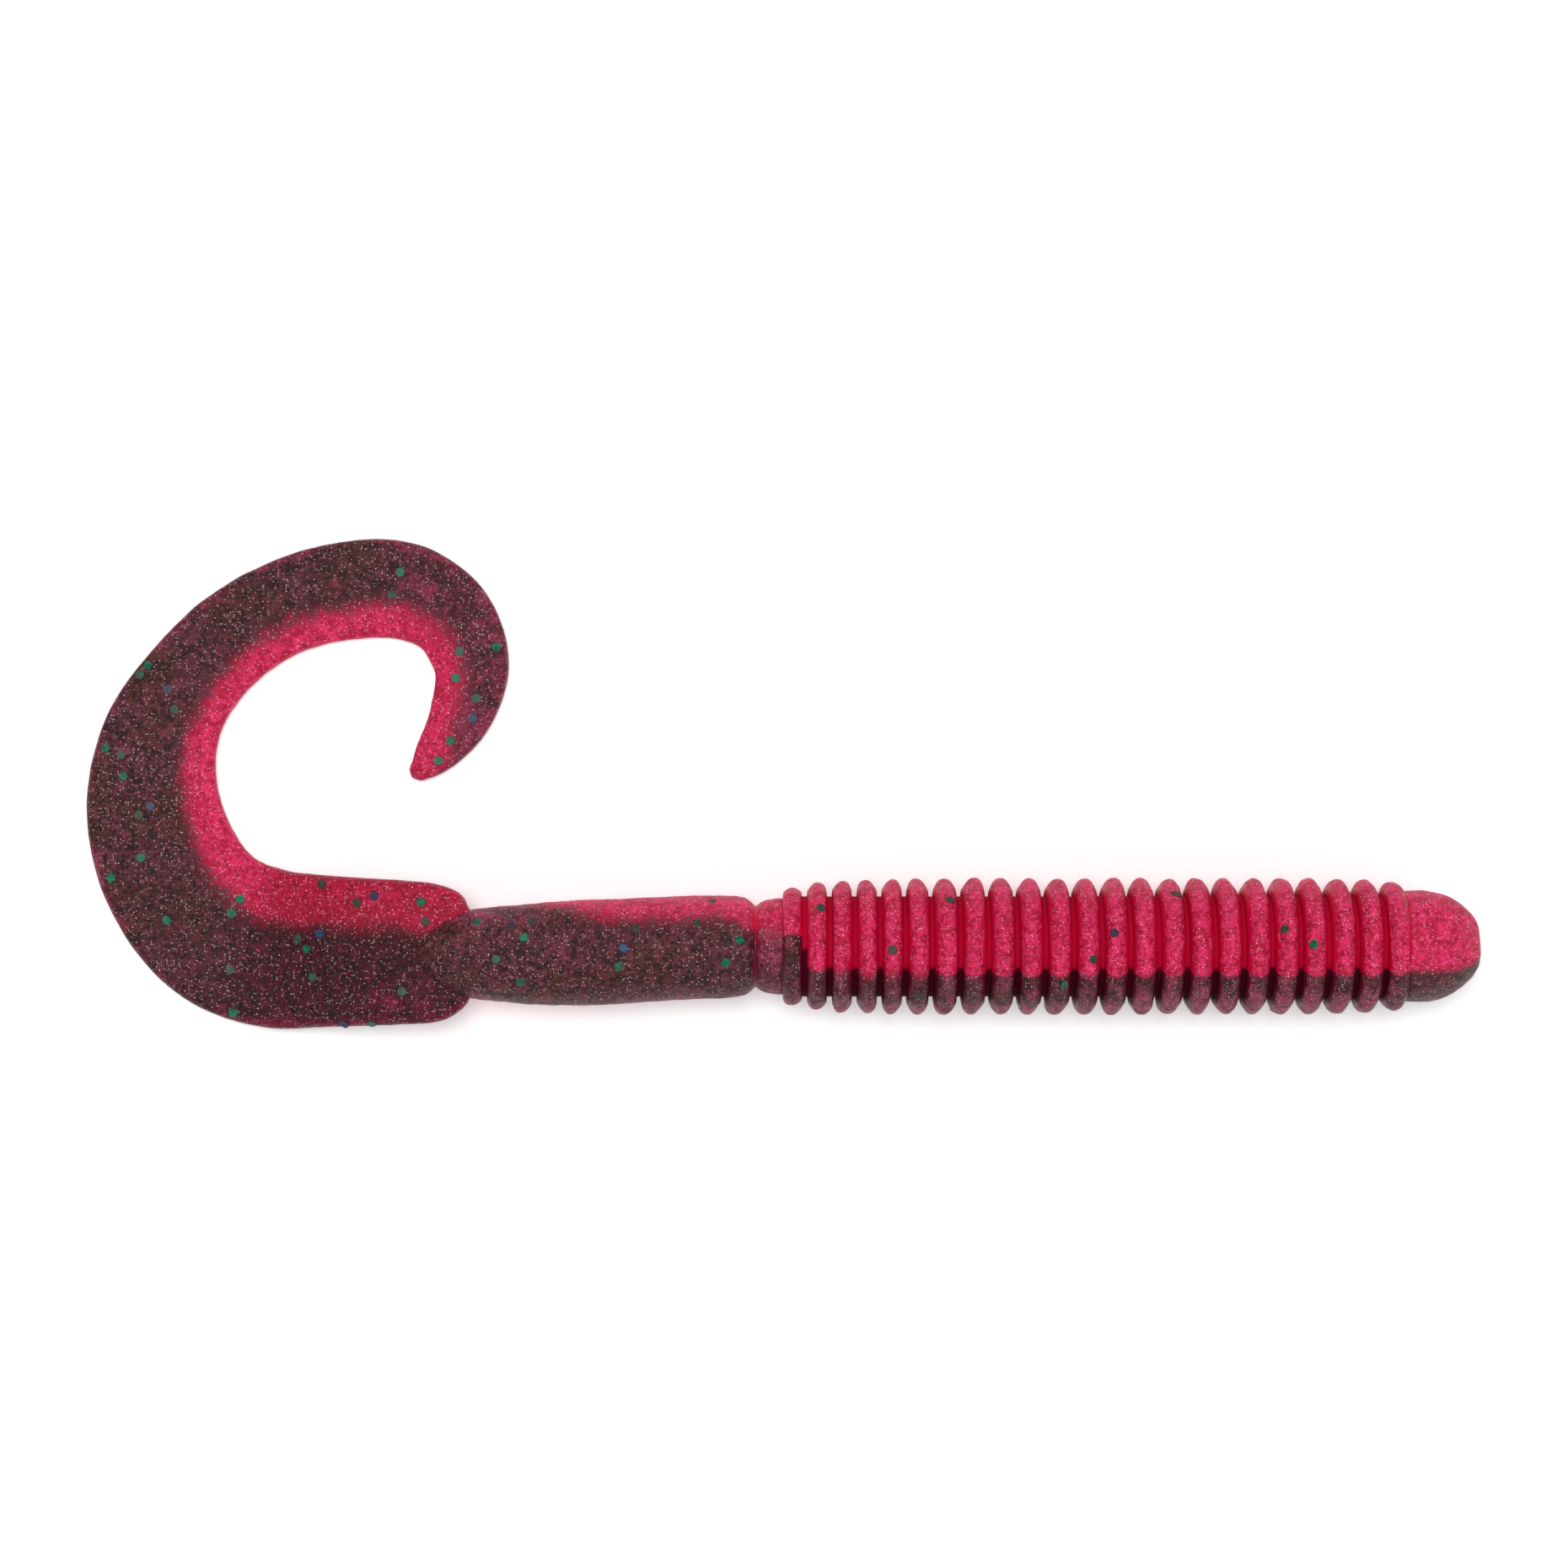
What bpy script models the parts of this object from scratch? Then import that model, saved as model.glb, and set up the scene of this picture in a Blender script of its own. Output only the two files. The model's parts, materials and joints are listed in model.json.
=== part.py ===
"""A moulded soft plastic fishing worm: a blunt nose and 23 ribs on the front half, a collar and a
waist, a smooth round body that ends in a bullet, and a flat tail that curls round in a hook.

The worm is one flexible moulding. It is cut here into short named sections at the lines where it
flexes, so that each section can turn against the next. Metres, +X towards the nose, +Z up. The
worm lies on the plane z = 0 on its ribs and on the flat underside of its tail.
"""

import math

import bpy
from mathutils import Vector

MM = 0.001
GAP = 0.15  # mm that each section keeps from the cut between it and the next
ROUND = 24  # sides of the round sections

# The body, in mm. Its axis runs along X at this side position and height.
AXIS_Y = -14.35
AXIS_Z = 6.1
RIBS = 23
FIRST_RIB_X = 1.2
REAR_PITCH = 2.2  # the first ribs, by the collar, stand closer together
REAR_GROOVES = 5
PITCH = 2.472
CREST_RADIUS = 6.08
FIRST_RIB_STEP = 0.8  # the first rib's crest is this much lower, and the next ones rise to full height
LAST_RIB_STEP = 0.35
GROOVE_RADIUS = 4.7
WAIST_X = -2.0
COLLAR_END_X = 0.45
NOSE_BASE_X = 55.55
NOSE_TIP_X = 62.0
NOSE_FLAT_RADIUS = 2.2
REAR_JOINT_X = -22.6
REAR_Y = -15.0  # the smooth body drifts sideways by a fraction of a millimetre towards the tail

# The tail blade, in mm.
BLADE_ROOT_THICKNESS = 1.9
BLADE_TIP_THICKNESS = 1.2
DROOP_START_X = -30.5  # the blade leaves the body at axis height and sinks to lie flat
DROOP_END_X = -49.0
SHANK_END_X = -33.8
SEGMENTS = 12
SECTIONS_PER_SEGMENT = 4

# Centre line and half width of the blade from its root to its tip, in mm.
BLADE_LINE = (
    (-27.2, -15.0, 4.6),
    (-29.5, -14.95, 6.35),
    (-34.0, -14.9, 6.45),
    (-40.0, -14.9, 6.75),
    (-45.2, -14.75, 7.1),
    (-49.4, -13.4, 7.05),
    (-52.8, -10.4, 6.7),
    (-55.2, -6.0, 6.4),
    (-56.2, -1.0, 5.9),
    (-55.5, 4.2, 5.2),
    (-53.0, 8.9, 4.5),
    (-49.0, 13.1, 4.3),
    (-44.0, 16.0, 4.25),
    (-38.5, 17.4, 4.4),
    (-33.5, 17.3, 4.35),
    (-29.4, 14.9, 3.85),
    (-27.6, 10.5, 3.35),
    (-28.7, 5.9, 2.75),
    (-31.1, 2.4, 1.75),
    (-32.9, 0.6, 0.5),
)

# Columns across the blade, from the outer edge to the inner: place across, underside and top as
# shares of the half width and of the thickness.
BLADE_SECTION = (
    (-1.0, 0.3, 0.65),
    (-0.9, 0.0, 0.92),
    (-0.45, 0.0, 1.0),
    (0.0, 0.0, 1.0),
    (0.45, 0.0, 1.0),
    (0.9, 0.0, 0.92),
    (1.0, 0.3, 0.65),
)

OUTER_RELIEF = 0.5  # mm that a sideways joint's faces fall back at the outer edge
INNER_RELIEF = 0.25
FLAP_RELIEF = 0.3  # mm that the flap joint's faces fall back at the top and the underside
WAVE_RELIEF = 0.12  # the same for the cuts that bend up and down

PINK = (0.47, 0.022, 0.085, 1.0)
RASPBERRY = (0.33, 0.018, 0.06, 1.0)
MAROON = (0.085, 0.014, 0.026, 1.0)


def clear_scene():
    for thing in list(bpy.data.objects):
        bpy.data.objects.remove(thing, do_unlink=True)


def plastisol(name, colour, roughness):
    """One soft plastic material of its own for a section."""
    material = bpy.data.materials.new(name + "_plastisol")
    material.use_nodes = True
    shader = material.node_tree.nodes["Principled BSDF"]
    shader.inputs["Base Color"].default_value = colour
    shader.inputs["Roughness"].default_value = roughness
    shader.inputs["Metallic"].default_value = 0.0
    material.diffuse_color = colour
    return material


def add_section(name, points, faces, pivot, colour, roughness=0.45):
    """A closed section whose origin is on the axis that it turns about. All lengths in mm."""
    pivot = Vector(pivot)
    mesh = bpy.data.meshes.new(name)
    mesh.from_pydata([(Vector(p) - pivot) * MM for p in points], [], faces)
    mesh.materials.append(plastisol(name, colour, roughness))
    section = bpy.data.objects.new(name, mesh)
    section.location = pivot * MM
    bpy.context.scene.collection.objects.link(section)
    return section


def lathe(profile, sides=ROUND):
    """A solid turned about a line along X. The profile is (x, radius, side position) from the rear
    to the front, and it begins and ends with a radius of zero."""
    points, faces, rings = [], [], []
    for x, radius, y in profile:
        if radius == 0:
            rings.append([len(points)])
            points.append((x, y, AXIS_Z))
            continue
        rings.append([len(points) + k for k in range(sides)])
        for k in range(sides):
            turn = 2 * math.pi * k / sides
            points.append((x, y + radius * math.cos(turn), AXIS_Z + radius * math.sin(turn)))
    for rear, front in zip(rings, rings[1:]):
        for k in range(sides):
            n = (k + 1) % sides
            if len(rear) == 1:
                faces.append((rear[0], front[n], front[k]))
            elif len(front) == 1:
                faces.append((rear[k], rear[n], front[0]))
            else:
                faces.append((rear[k], rear[n], front[n], front[k]))
    return points, faces


def on_axis(profile):
    return [(x, radius, AXIS_Y) for x, radius in profile]


def crest_radius(rib):
    """Crest radius of a rib, counted from 1 at the collar. The ribs at both ends are lower."""
    rise = FIRST_RIB_STEP * math.exp(-(rib - 1) / 1.6)
    fall = LAST_RIB_STEP * math.exp(-(RIBS - rib) / 1.2)
    return CREST_RADIUS - rise - fall


def rib_x(rib):
    close = min(rib - 1, REAR_GROOVES)
    return FIRST_RIB_X + REAR_PITCH * close + PITCH * (rib - 1 - close)


def groove_x(groove):
    """The middle of a groove, counted from 1 between the first two ribs."""
    return (rib_x(groove) + rib_x(groove + 1)) / 2


def add_ribs():
    """Each rib is a disc with a rounded crest and sloping flanks. Its faces fall back a little
    from the centre outwards, so that it can tilt against its neighbours."""
    for rib in range(1, RIBS + 1):
        x, crest = rib_x(rib), crest_radius(rib)
        depth = crest - GROOVE_RADIUS
        flank = [(0.34, crest - 0.07), (0.74, crest - 0.42 * depth)]
        front_half = groove_x(rib) - x - GAP
        foot = [(front_half - 0.12, GROOVE_RADIUS), (front_half, 0.0)]
        front = [(x + away, radius) for away, radius in flank + foot]
        if rib > 1:
            pivot_x = groove_x(rib - 1)
            rear_half = x - pivot_x - GAP
            foot = [(rear_half - 0.12, GROOVE_RADIUS), (rear_half, 0.0)]
            rear = [(x - away, radius) for away, radius in reversed(flank + foot)]
        else:  # the collar stands close behind the first rib
            rear = [
                (COLLAR_END_X + 2 * GAP, 0.0),
                (COLLAR_END_X + 2 * GAP, 4.5),
                (x - 0.28, crest - 0.07),
            ]
            pivot_x = WAIST_X
        points, faces = lathe(on_axis(rear + front))
        add_section(f"rib_{rib:02d}", points, faces, (pivot_x, AXIS_Y, AXIS_Z), RASPBERRY)


def add_nose():
    """The blunt front end, with a small flat at its tip."""
    profile = [
        (NOSE_BASE_X, 0.0),
        (NOSE_BASE_X, 4.6),
        (56.0, 4.95),
        (57.2, 4.88),
        (58.3, 4.72),
        (59.4, 4.38),
        (60.4, 3.75),
        (61.3, 2.95),
        (NOSE_TIP_X, NOSE_FLAT_RADIUS),
        (NOSE_TIP_X, 0.0),
    ]
    points, faces = lathe(on_axis(profile))
    pivot = (groove_x(RIBS - 1), AXIS_Y, AXIS_Z)
    add_section("nose", points, faces, pivot, PINK)


def add_collar():
    """A short plain band between the waist and the first rib."""
    profile = [
        (WAIST_X + GAP, 0.0),
        (WAIST_X + GAP + 0.35, 3.4),
        (WAIST_X + GAP + 0.7, 4.1),
        (WAIST_X + GAP + 1.05, 4.4),
        (COLLAR_END_X, 4.4),
        (COLLAR_END_X, 0.0),
    ]
    points, faces = lathe(on_axis(profile))
    add_section("collar", points, faces, (WAIST_X, AXIS_Y, AXIS_Z), RASPBERRY)


def add_smooth_body():
    """The plain round length behind the waist. Both end faces fall back towards the rim."""
    start = REAR_JOINT_X + GAP
    profile = [
        (start, 0.0, REAR_Y),
        (start + 0.5, 4.36, REAR_Y),
        (-20.0, 4.6, REAR_Y),
        (-16.5, 4.65, -14.95),
        (-12.0, 4.65, -14.75),
        (-8.0, 4.6, -14.55),
        (-4.0, 4.5, -14.4),
        (WAIST_X - GAP - 0.95, 4.35, AXIS_Y),
        (WAIST_X - GAP - 0.6, 4.05, AXIS_Y),
        (WAIST_X - GAP - 0.35, 3.4, AXIS_Y),
        (WAIST_X - GAP, 0.0, AXIS_Y),
    ]
    points, faces = lathe(profile, 32)
    add_section("smooth_body", points, faces, (-12.0, -14.75, AXIS_Z), MAROON)


def ease(share):
    share = min(max(share, 0.0), 1.0)
    return share * share * (3 - 2 * share)


def spline(line, steps=24):
    """A smooth curve through the given points, as a dense list."""
    line = [Vector(p) for p in line]
    padded = [2 * line[0] - line[1], *line, 2 * line[-1] - line[-2]]
    dense = []
    for a, b, c, d in zip(padded, padded[1:], padded[2:], padded[3:]):
        for step in range(steps):
            t = step / steps
            dense.append(
                0.5
                * (
                    2 * b
                    + (c - a) * t
                    + (2 * a - 5 * b + 4 * c - d) * t**2
                    + (3 * b - 3 * c + d - a) * t**3
                )
            )
    dense.append(line[-1])
    return dense


class Blade:
    """The tail's shape, by distance along its centre line from the blade's root end."""

    def __init__(self):
        self.dense = spline(BLADE_LINE)
        self.far = [0.0]
        for a, b in zip(self.dense, self.dense[1:]):
            self.far.append(self.far[-1] + (b - a).xy.length)
        self.length = self.far[-1]
        self.start = next(s for s, p in zip(self.far, self.dense) if p.x <= SHANK_END_X)

    def at(self, s):
        """(x, y, half width) at distance s."""
        s = min(max(s, 0.0), self.length)
        k = next(i for i in range(1, len(self.far)) if self.far[i] >= s)
        share = (s - self.far[k - 1]) / (self.far[k] - self.far[k - 1])
        return self.dense[k - 1].lerp(self.dense[k], share)

    def thickness(self, s):
        share = min(max(s / self.length, 0.0), 1.0)
        return BLADE_ROOT_THICKNESS + (BLADE_TIP_THICKNESS - BLADE_ROOT_THICKNESS) * share

    def under(self, s):
        """Height of the underside at the centre line."""
        x = self.at(s).x
        if s > self.length / 2:
            return 0.0
        top = AXIS_Z - BLADE_ROOT_THICKNESS / 2
        return top * (1 - ease((DROOP_START_X - x) / (DROOP_START_X - DROOP_END_X)))

    def point(self, s):
        place = self.at(s)
        return Vector((place.x, place.y, self.under(s)))

    def frame(self, s):
        """(underside point, along, towards the inner edge, up) at distance s."""
        step = 0.05
        along = (self.point(s + step) - self.point(s - step)).normalized()
        inner = along.cross(Vector((0, 0, 1))).normalized()
        return self.point(s), along, inner, inner.cross(along)

    def middle(self, s):
        """The point halfway through the thickness on the centre line."""
        base, _, _, up = self.frame(s)
        return base + up * self.thickness(s) / 2

    def section(self, s, shift=None):
        """One ring of points across the blade. The shift moves each along the blade, by its place
        across and through the thickness."""
        base, along, inner, up = self.frame(s)
        half, thick = self.at(s).z, self.thickness(s)
        rings = []
        for row in (1, 2):
            for column in BLADE_SECTION:
                across, height = column[0], column[row]
                move = shift(across, height) if shift else 0.0
                rings.append(base + inner * across * half + up * height * thick + along * move)
        return rings


def loft(rings):
    """A closed solid through rings of two rows of columns, the underside and the top."""
    count = len(rings[0])
    columns = count // 2
    around = list(range(columns)) + list(range(count - 1, columns - 1, -1))
    points = [p for ring in rings for p in ring]
    faces = []
    for k in range(len(rings) - 1):
        a, b = k * count, (k + 1) * count
        for i, j in zip(around, around[1:] + around[:1]):
            faces.append((a + i, b + i, b + j, a + j))
    last = (len(rings) - 1) * count
    for c in range(columns - 1):
        faces.append((c, c + 1, c + columns + 1, c + columns))
        faces.append((last + c, last + c + columns, last + c + columns + 1, last + c + 1))
    return points, faces


def sideways_relief(direction, half, widest):
    """Falls back from the cut along the blade, more on the outer edge than on the inner."""

    def shift(across, height):
        deep = OUTER_RELIEF if across < 0 else INNER_RELIEF
        return direction * deep * abs(across) * half / widest

    return shift


def upright_relief(direction, deep):
    """Falls back from the cut at the top and at the underside."""

    def shift(across, height):
        return direction * deep * abs(2 * height - 1)

    return shift


def add_blade(blade):
    """The flat tail beyond the shank, in equal lengths. The cut at the shank is the flap, and after
    that the cuts turn sideways and up and down by turns."""
    step = (blade.length - blade.start) / SEGMENTS
    widest = max(p.z for p in blade.dense)

    def end_shift(cut, direction, s):
        """How one segment's end face falls back from a cut. Cut 0 is the flap."""
        if cut == 0:
            return upright_relief(direction, FLAP_RELIEF)
        if cut == SEGMENTS:
            return None
        if cut % 2:
            return sideways_relief(direction, blade.at(s).z, widest)
        return upright_relief(direction, WAVE_RELIEF)

    for number in range(1, SEGMENTS + 1):
        s0 = blade.start + step * (number - 1)
        first = s0 + GAP
        last = s0 + step - (GAP if number < SEGMENTS else 0)
        rings = []
        for k in range(SECTIONS_PER_SEGMENT):
            s = first + (last - first) * k / (SECTIONS_PER_SEGMENT - 1)
            shift = None
            if k == 0:
                shift = end_shift(number - 1, 1, s)
            elif k == SECTIONS_PER_SEGMENT - 1:
                shift = end_shift(number, -1, s)
            rings.append(blade.section(s, shift))
        points, faces = loft(rings)
        add_section(f"blade_{number:02d}", points, faces, blade.middle(s0), MAROON, 0.4)


def add_tail_shank(blade):
    """The bullet end of the round body, joined with the root of the blade that grows out of it."""
    start = REAR_JOINT_X - GAP
    profile = [
        (-32.0, 0.0),
        (-31.85, 0.7),
        (-31.3, 1.7),
        (-30.2, 2.75),
        (-28.8, 3.4),
        (-27.3, 3.95),
        (-25.4, 4.2),
        (start - 0.5, 4.33),
        (start, 0.0),
    ]
    points, faces = lathe([(x, radius, REAR_Y) for x, radius in profile], 32)
    pivot = (REAR_JOINT_X, REAR_Y, AXIS_Z)
    shank = add_section("tail_shank", points, faces, pivot, MAROON, 0.4)
    places = (0.0, 0.35, 0.9, 1.7, 2.6, 4.4)
    rings = [blade.section(s) for s in places]
    rings.append(blade.section(blade.start - GAP, upright_relief(-1, FLAP_RELIEF)))
    points, faces = loft(rings)
    root = add_section("blade_root_tool", points, faces, pivot, MAROON, 0.4)
    root.hide_render = True
    root.display_type = "WIRE"
    join = shank.modifiers.new("blade_root", "BOOLEAN")
    join.operation = "UNION"
    join.solver = "EXACT"
    join.object = root


clear_scene()
tail = Blade()
add_ribs()
add_nose()
add_collar()
add_smooth_body()
add_tail_shank(tail)
add_blade(tail)
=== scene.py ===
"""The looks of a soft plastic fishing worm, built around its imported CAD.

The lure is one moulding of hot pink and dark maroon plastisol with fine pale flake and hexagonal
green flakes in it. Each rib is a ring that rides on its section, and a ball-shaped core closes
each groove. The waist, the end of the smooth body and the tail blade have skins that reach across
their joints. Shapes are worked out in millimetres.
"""

import json
import math
import random

import bpy
import numpy as np
from mathutils import Euler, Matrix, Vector, noise
from mathutils.bvhtree import BVHTree

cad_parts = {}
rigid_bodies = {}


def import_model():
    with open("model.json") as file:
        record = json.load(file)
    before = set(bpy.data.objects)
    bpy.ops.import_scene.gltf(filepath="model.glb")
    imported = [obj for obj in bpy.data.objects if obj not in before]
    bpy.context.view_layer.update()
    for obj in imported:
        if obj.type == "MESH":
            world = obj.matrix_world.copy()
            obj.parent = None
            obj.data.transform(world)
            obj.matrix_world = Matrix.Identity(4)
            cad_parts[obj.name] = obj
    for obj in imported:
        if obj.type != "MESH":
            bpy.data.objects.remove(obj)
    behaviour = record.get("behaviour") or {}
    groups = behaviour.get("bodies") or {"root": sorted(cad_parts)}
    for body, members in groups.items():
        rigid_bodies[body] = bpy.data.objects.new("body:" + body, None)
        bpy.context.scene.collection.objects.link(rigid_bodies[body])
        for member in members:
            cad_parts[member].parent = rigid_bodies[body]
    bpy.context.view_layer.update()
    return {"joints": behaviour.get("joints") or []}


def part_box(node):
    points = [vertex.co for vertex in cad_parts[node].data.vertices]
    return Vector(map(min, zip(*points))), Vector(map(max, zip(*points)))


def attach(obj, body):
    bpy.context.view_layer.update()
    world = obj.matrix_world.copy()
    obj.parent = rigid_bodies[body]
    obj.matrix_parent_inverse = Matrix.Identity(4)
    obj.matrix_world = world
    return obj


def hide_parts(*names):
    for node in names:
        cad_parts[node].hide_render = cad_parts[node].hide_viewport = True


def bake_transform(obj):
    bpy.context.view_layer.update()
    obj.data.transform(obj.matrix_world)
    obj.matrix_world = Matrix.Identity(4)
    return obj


MM = 0.001

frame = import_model()
joints = {j["name"]: j for j in frame["joints"]}


def joint_place(name):
    """A joint's place, in mm."""
    return Vector(joints[name]["pos_m"]) / MM


def box_mm(node):
    low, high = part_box(node)
    return low / MM, high / MM


# --- The body, in mm, read from the CAD where it holds the size ---------------------------------

RIBS = 23
WAIST = joint_place("waist_bend")
AXIS_Y = WAIST.y
AXIS_Z = WAIST.z
REAR_JOINT = joint_place("shank_bend")
NOSE_TIP_X = box_mm("nose")[1].x
GROOVES = {int(n.split("_")[1]): joint_place(n) for n in joints if n.startswith("groove")}
CREST = {rib: box_mm(f"rib_{rib:02d}")[1].z - AXIS_Z for rib in range(1, RIBS + 1)}
RIB_X = {RIBS: sum(box_mm(f"rib_{RIBS}"), Vector()).x / 2}
for groove in range(RIBS - 1, 0, -1):
    RIB_X[groove] = 2 * GROOVES[groove].x - RIB_X[groove + 1]
GROOVE_RADIUS = 4.42  # at the bottom of a groove
RING_ROOT = 4.1  # a rib's inner surface, hidden by the cores of its grooves
FIRST_REAR_ROOM = 0.93  # room behind the first rib, by the collar, as a share of that in front

# A rib's side is rounded, by this power of the distance from its middle, and would reach the bottom
# of the groove at the first distance from the groove's middle. It stops at the second and falls
# steeply to the third, so that the ribs don't meet when the worm bends.
LOBE_POWER = 2.3
LOBE_CLEAR = 0.015
SIDE_CLEAR = 0.25
FOOT_CLEAR = 0.21

# The core that closes the bottom of a groove: its half length, and its sections as shares of that.
CORE_HALF = 0.9
CORE_SHARES = (-1, -0.7, -0.45, -0.3, -0.22, -0.14, -0.07, 0, 0.07, 0.14, 0.22, 0.3, 0.45, 0.7, 1)

AROUND = 144  # points round a rib or the body
CORE_AROUND = 96
BODY_AROUND = 168
RING_STEPS = 20

# Roll of the boundary between the two colours, in degrees from straight up, by place along X.
# The pink side spans the half circle from this angle towards the inner edge of the curl.
SEAM_ROLL = (
    (-24.0, 88.0),
    (-19.5, 66.0),
    (-15.0, 40.0),
    (-3.0, 33.0),
    (-1.6, 20.0),
    (1.8, 13.0),
    (2.9, -20.0),
    (8.0, -24.0),
    (62.0, -23.0),
)

# The smooth body and its bullet end: place along X, radius.
BODY_PROFILE = (
    (-32.0, 0.0),
    (-31.93, 0.45),
    (-31.6, 1.15),
    (-31.0, 1.85),
    (-30.1, 2.6),
    (-28.8, 3.3),
    (-27.2, 3.88),
    (-25.4, 4.16),
    (-23.3, 4.32),
    (-21.6, 4.48),
    (-19.5, 4.6),
    (-15.0, 4.64),
    (-9.5, 4.62),
    (-5.5, 4.55),
    (-3.9, 4.48),
    (-3.3, 4.38),
    (-3.0, 4.22),
    (-2.95, 3.6),
    (-3.2, 2.6),
    (-3.4, 0.0),
)

COLLAR_PROFILE = (
    (-0.8, 0.0),
    (-0.95, 2.6),
    (-1.1, 3.4),
    (-1.08, 3.92),
    (-0.85, 4.1),
    (-0.4, 4.2),
    (0.1, 4.24),
    (0.6, 4.2),
    (1.2, 4.2),
    (1.2, 0.0),
)

WAIST_PROFILE = (
    (-4.2, 0.0),
    (-4.2, 3.9),
    (-3.7, 4.26),
    (-3.3, 4.36),
    (-3.0, 4.32),
    (-2.72, 4.18),
    (-2.46, 3.98),
    (-2.24, 3.76),
    (-2.08, 3.62),
    (-1.96, 3.6),
    (-1.82, 3.68),
    (-1.6, 3.86),
    (-1.3, 4.02),
    (-0.95, 4.12),
    (-0.6, 4.1),
    (-0.3, 3.8),
    (-0.3, 0.0),
)

NOSE_PROFILE = (
    (54.3, 0.0),
    (54.3, 4.3),
    (55.0, 4.74),
    (55.6, 4.9),
    (56.6, 4.93),
    (57.8, 4.82),
    (58.9, 4.5),
    (59.8, 4.02),
    (60.55, 3.45),
    (61.1, 2.95),
    (61.45, 2.5),
    (61.68, 2.05),
    (61.8, 1.4),
    (61.84, 0.7),
    (61.85, 0.0),
)


def ease(share):
    share = min(max(share, 0.0), 1.0)
    return share * share * (3 - 2 * share)


def table(rows, x):
    """A value read from rows of (place, value) by straight lines."""
    return float(np.interp(x, [row[0] for row in rows], [row[1] for row in rows]))


def body_side(x):
    """Side position of the round body's centre. The smooth body drifts a little sideways."""
    return AXIS_Y + (REAR_JOINT.y - AXIS_Y) * ease((WAIST.x - x) / (WAIST.x - REAR_JOINT.x))


def wander(point, size, seed=0.0):
    """Smooth noise between about -1 and 1, with features of the given size in mm."""
    return noise.noise(Vector(point) / size + Vector((seed, 1.7 * seed, -seed)))


def lumps(point, seed=0.0):
    """The small unevenness of soft plastic from a rough mould, in mm."""
    return (
        0.05 * wander(point, 2.6, seed)
        + 0.035 * wander(point, 0.9, seed + 5)
        + 0.02 * wander(point, 0.45, seed + 9)
    )


# --- Mesh making ----------------------------------------------------------------------------------


def make_piece(name, points, faces, marks, material, caps=()):
    """A piece from points in mm. The marks are float attributes that the material reads, and the
    attribute "rest" holds each point's place, so that the pattern stays on the skin as it bends.
    The faces numbered in caps are flat and have sharp rims."""
    mesh = bpy.data.meshes.new(name)
    mesh.from_pydata([Vector(p) * MM for p in points], [], faces)
    rest = mesh.attributes.new("rest", "FLOAT_VECTOR", "POINT")
    rest.data.foreach_set("vector", np.array(points, np.float32).ravel())
    for mark, values in marks.items():
        attribute = mesh.attributes.new(mark, "FLOAT", "POINT")
        attribute.data.foreach_set("value", np.array(values, np.float32))
    mesh.materials.append(material)
    mesh.shade_smooth()
    rims = set()
    for cap in caps:
        mesh.polygons[cap].use_smooth = False
        rims.update(mesh.polygons[cap].edge_keys)
    if rims:
        for edge in mesh.edges:
            edge.use_edge_sharp = edge.key in rims
    piece = bpy.data.objects.new(name, mesh)
    bpy.context.scene.collection.objects.link(piece)
    return piece


def spline(line, steps):
    """A smooth curve through rows of numbers, as a dense list of vectors."""
    line = [np.array(row, float) for row in line]
    padded = [2 * line[0] - line[1], *line, 2 * line[-1] - line[-2]]
    dense = []
    for a, b, c, d in zip(padded, padded[1:], padded[2:], padded[3:]):
        for t in np.arange(steps) / steps:
            cubic = (2 * a - 5 * b + 4 * c - d) * t**2 + (3 * b - 3 * c + d - a) * t**3
            dense.append(0.5 * (2 * b + (c - a) * t + cubic))
    return dense + [line[-1]]


def turned(profile, centre, shape, marks_at, around=AROUND):
    """A closed turned solid about a line along X. The profile is (x, radius), and it begins and
    ends on the axis. centre(x) gives the line's side position, and shape(x, radius, angle) the
    real (x, radius) of a point. The angle is measured from straight up towards +Y."""
    points, faces, rings, marks = [], [], [], {}

    def put(x, radius, angle):
        real_x, real_radius = shape(x, radius, angle)
        side = centre(real_x)
        point = (
            real_x,
            side + real_radius * math.sin(angle),
            AXIS_Z + real_radius * math.cos(angle),
        )
        points.append(point)
        for mark, value in marks_at(real_x, real_radius, angle).items():
            marks.setdefault(mark, []).append(value)

    for x, radius in profile:
        first = len(points)
        if radius == 0:
            put(x, 0.0, 0.0)
            rings.append([first])
            continue
        for k in range(around):
            put(x, radius, 2 * math.pi * k / around - math.pi)
        rings.append(list(range(first, first + around)))
    for rear, front in zip(rings, rings[1:]):
        for k in range(around):
            n = (k + 1) % around
            if len(rear) == 1:
                faces.append((rear[0], front[k], front[n]))
            elif len(front) == 1:
                faces.append((rear[n], rear[k], front[0]))
            else:
                faces.append((rear[n], rear[k], front[k], front[n]))
    return points, faces, marks


def seam_distance(x, radius, angle):
    """How far a point of the round body is into the dark side, in mm."""
    return -radius * math.sin(angle - math.radians(table(SEAM_ROLL, x)))


# --- Materials ------------------------------------------------------------------------------------


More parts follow.
